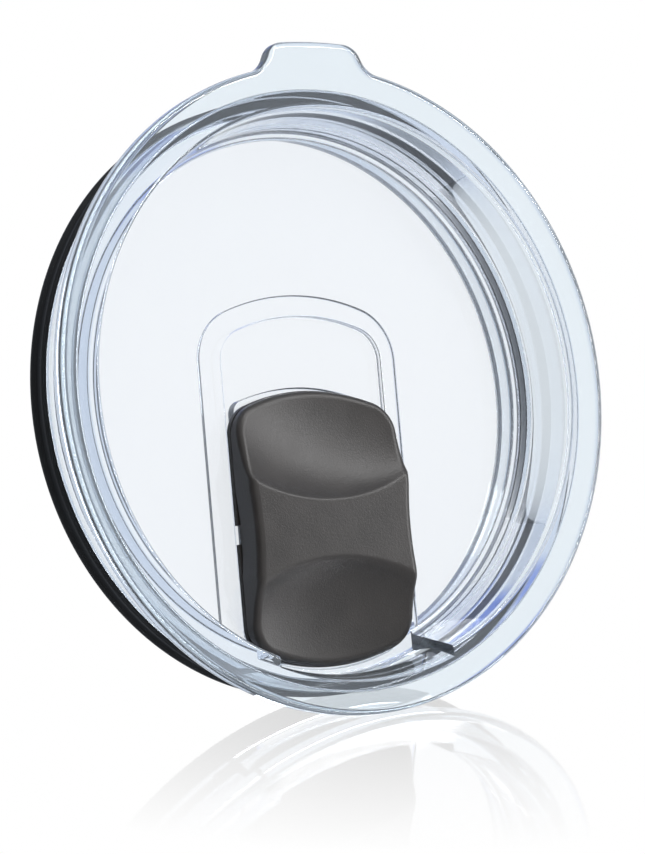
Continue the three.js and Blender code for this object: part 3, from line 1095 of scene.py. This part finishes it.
def buildFloor():
    # the lid stands on its flange and its gasket's lower lip, leaning back a little
    g = gasketShape
    lipLow = gasketHigh.z - g["firstLip"] - g["lipPitch"]
    flangeLow = flangeTop - shell["flangeThickness"]
    lean = math.atan2(flangeRadius - g["lipRadius"], flangeLow - lipLow)
    across = view["right"]
    ahead = math.cos(lean)
    sideways = -(across[1] * ahead + across[2] * math.sin(lean)) / across[0]
    up = Vector((sideways, ahead, math.sin(lean))).normalized()
    out = Vector((-up.x, -up.y, 0)).normalized()
    inset = stand["contactInset"]
    contact = out * (flangeRadius - inset) + Vector((0, 0, flangeLow + inset))
    contact -= up * stand["gap"]
    side = up.cross(Vector((0, 0, 1))).normalized()
    back = side.cross(up)
    half = stand["size"]
    points = [contact + side * a * half + back * b * half
              for a, b in ((-1, -1), (1, -1), (1, 1), (-1, 1))]
    floor = newPiece("paleFloor", points, [(0, 1, 2, 3)])
    if floor.data.polygons[0].normal.dot(up) < 0:
        floor.data.flip_normals()
    floor.data.transform(Matrix.Scale(mm, 4))
    floor.data.materials.append(makeFloorGloss(contact))
    floor.visible_shadow = False


view = {
    "right": (0.8249, -0.0871, 0.5585),  # the camera's own right and up, in the lid's axes
    "up": (0.0226, 0.9923, 0.1214),
    "distance": 600.0,
    "shiftRight": 3.46,
    "shiftUp": 6.13,
    "fovDegrees": 12.38,
    "sensorHeight": 24.0,
}


def placeCamera():
    right = Vector(view["right"]).normalized()
    up = Vector(view["up"])
    up = (up - right * up.dot(right)).normalized()
    toward = right.cross(up)
    spot = Vector((0, 0, flangeTop)) - right * view["shiftRight"] - up * view["shiftUp"]
    spot += toward * view["distance"]
    data = bpy.data.cameras.new("camera")
    data.sensor_fit = "VERTICAL"
    data.sensor_height = view["sensorHeight"]
    data.lens = view["sensorHeight"] / 2 / math.tan(math.radians(view["fovDegrees"]) / 2)
    data.clip_start, data.clip_end = 0.01, 50
    camera = bpy.data.objects.new("camera", data)
    turn = Matrix((right, up, toward)).transposed().to_4x4()
    camera.matrix_world = Matrix.Translation(spot * mm) @ turn
    scene.collection.objects.link(camera)
    scene.camera = camera
    return right, up, toward


cameraRight, cameraUp, cameraToward = placeCamera()
buildFloor()

studio = {
    "backdrop": 1.0,
    # (degrees from straight behind the lid, colour)
    "rings": [
        (0, (1.0, 1.0, 1.0)),
        (14, (0.96, 0.98, 1.0)),
        (26, (0.76, 0.81, 0.90)),
        (60, (0.72, 0.78, 0.89)),
        (100, (0.68, 0.73, 0.82)),
        (140, (0.86, 0.88, 0.93)),
        (180, (0.92, 0.93, 0.96)),
    ],
    # (degrees from straight behind, turn round that line, radius, soft edge, colour)
    "cards": {
        "blue": (27, 118, 7, 5, (0.38, 0.46, 0.84)),
        "lowBlue": (50, 125, 8, 6, (0.20, 0.30, 0.74)),
        "aboveWhite": (28, 90, 5, 3, (1.0, 1.0, 1.0)),
        "rightWhite": (42, 5, 20, 12, (1.0, 1.0, 1.0)),
        "lowGrey": (72, 262, 12, 12, (0.36, 0.39, 0.43)),
        "leftDark": (132, 180, 32, 22, (0.20, 0.21, 0.23)),
    },
    "strip": {
        "direction": (0.565, 0.424, 0.709),
        "distance": 600.0,
        "width": 1300.0,
        "height": 36.0,
        "power": 4.6,
    },
    "bounces": 24,
}


def buildWorld():
    # a white backdrop, while reflections and light see soft rings of tone and the cards
    world = bpy.data.worlds.new("studio")
    scene.world = world
    world.use_nodes = True
    tree = world.node_tree
    tree.nodes.clear()
    output = tree.nodes.new("ShaderNodeOutputWorld")
    seen = tree.nodes.new("ShaderNodeBackground")
    seen.inputs["Color"].default_value = (1, 1, 1, 1)
    seen.inputs["Strength"].default_value = studio["backdrop"]
    around = tree.nodes.new("ShaderNodeBackground")
    coords = tree.nodes.new("ShaderNodeTexCoord")

    def degreesFrom(direction):
        facing = place(tree, "ShaderNodeVectorMath", operation="DOT_PRODUCT")
        facing.inputs[1].default_value = direction
        tree.links.new(coords.outputs["Generated"], facing.inputs[0])
        angle = place(tree, "ShaderNodeMath", operation="ARCCOSINE")
        tree.links.new(facing.outputs["Value"], angle.inputs[0])
        degrees = place(tree, "ShaderNodeMath", operation="DEGREES")
        tree.links.new(angle.outputs[0], degrees.inputs[0])
        return degrees.outputs[0]

    share = place(tree, "ShaderNodeMath", operation="DIVIDE")
    tree.links.new(degreesFrom(-cameraToward), share.inputs[0])
    share.inputs[1].default_value = 180
    ramp = tree.nodes.new("ShaderNodeValToRGB")
    elements = ramp.color_ramp.elements
    while len(elements) < len(studio["rings"]):
        elements.new(0.5)
    for element, (degrees, colour) in zip(elements, studio["rings"]):
        element.position = degrees / 180
        element.color = (*colour, 1)
    tree.links.new(share.outputs[0], ramp.inputs["Fac"])
    colourSoFar = ramp.outputs["Color"]
    for tilt, turn, size, edge, colour in studio["cards"].values():
        tilt, turn = math.radians(tilt), math.radians(turn)
        aside = cameraRight * math.cos(turn) + cameraUp * math.sin(turn)
        aim = aside * math.sin(tilt) - cameraToward * math.cos(tilt)
        inside = tree.nodes.new("ShaderNodeMapRange")
        inside.interpolation_type = "SMOOTHSTEP"
        tree.links.new(degreesFrom(aim), inside.inputs["Value"])
        inside.inputs["From Min"].default_value = size + edge
        inside.inputs["From Max"].default_value = size
        card = place(tree, "ShaderNodeMix", data_type="RGBA")
        tree.links.new(inside.outputs["Result"], card.inputs["Factor"])
        tree.links.new(colourSoFar, card.inputs["A"])
        card.inputs["B"].default_value = (*colour, 1)
        colourSoFar = card.outputs["Result"]
    tree.links.new(colourSoFar, around.inputs["Color"])
    path = tree.nodes.new("ShaderNodeLightPath")
    mix = tree.nodes.new("ShaderNodeMixShader")
    tree.links.new(path.outputs["Is Camera Ray"], mix.inputs["Fac"])
    tree.links.new(around.outputs[0], mix.inputs[1])
    tree.links.new(seen.outputs[0], mix.inputs[2])
    tree.links.new(mix.outputs[0], output.inputs["Surface"])


def softbox(name, direction, distance, width, height, power):
    data = bpy.data.lights.new(name, "AREA")
    data.shape = "RECTANGLE"
    data.size, data.size_y = width * mm, height * mm
    data.energy = power
    light = bpy.data.objects.new(name, data)
    aim = Vector(direction).normalized()
    turn = aim.to_track_quat("Z", "Y").to_matrix().to_4x4()
    light.matrix_world = Matrix.Translation(aim * distance * mm) @ turn
    scene.collection.objects.link(light)


buildWorld()
softbox("scoopStrip", **studio["strip"])
scene.view_settings.view_transform = "Standard"
scene.cycles.use_denoising = True
scene.cycles.max_bounces = studio["bounces"]
scene.cycles.transmission_bounces = studio["bounces"]
scene.cycles.transparent_max_bounces = studio["bounces"]
print("stage ready")
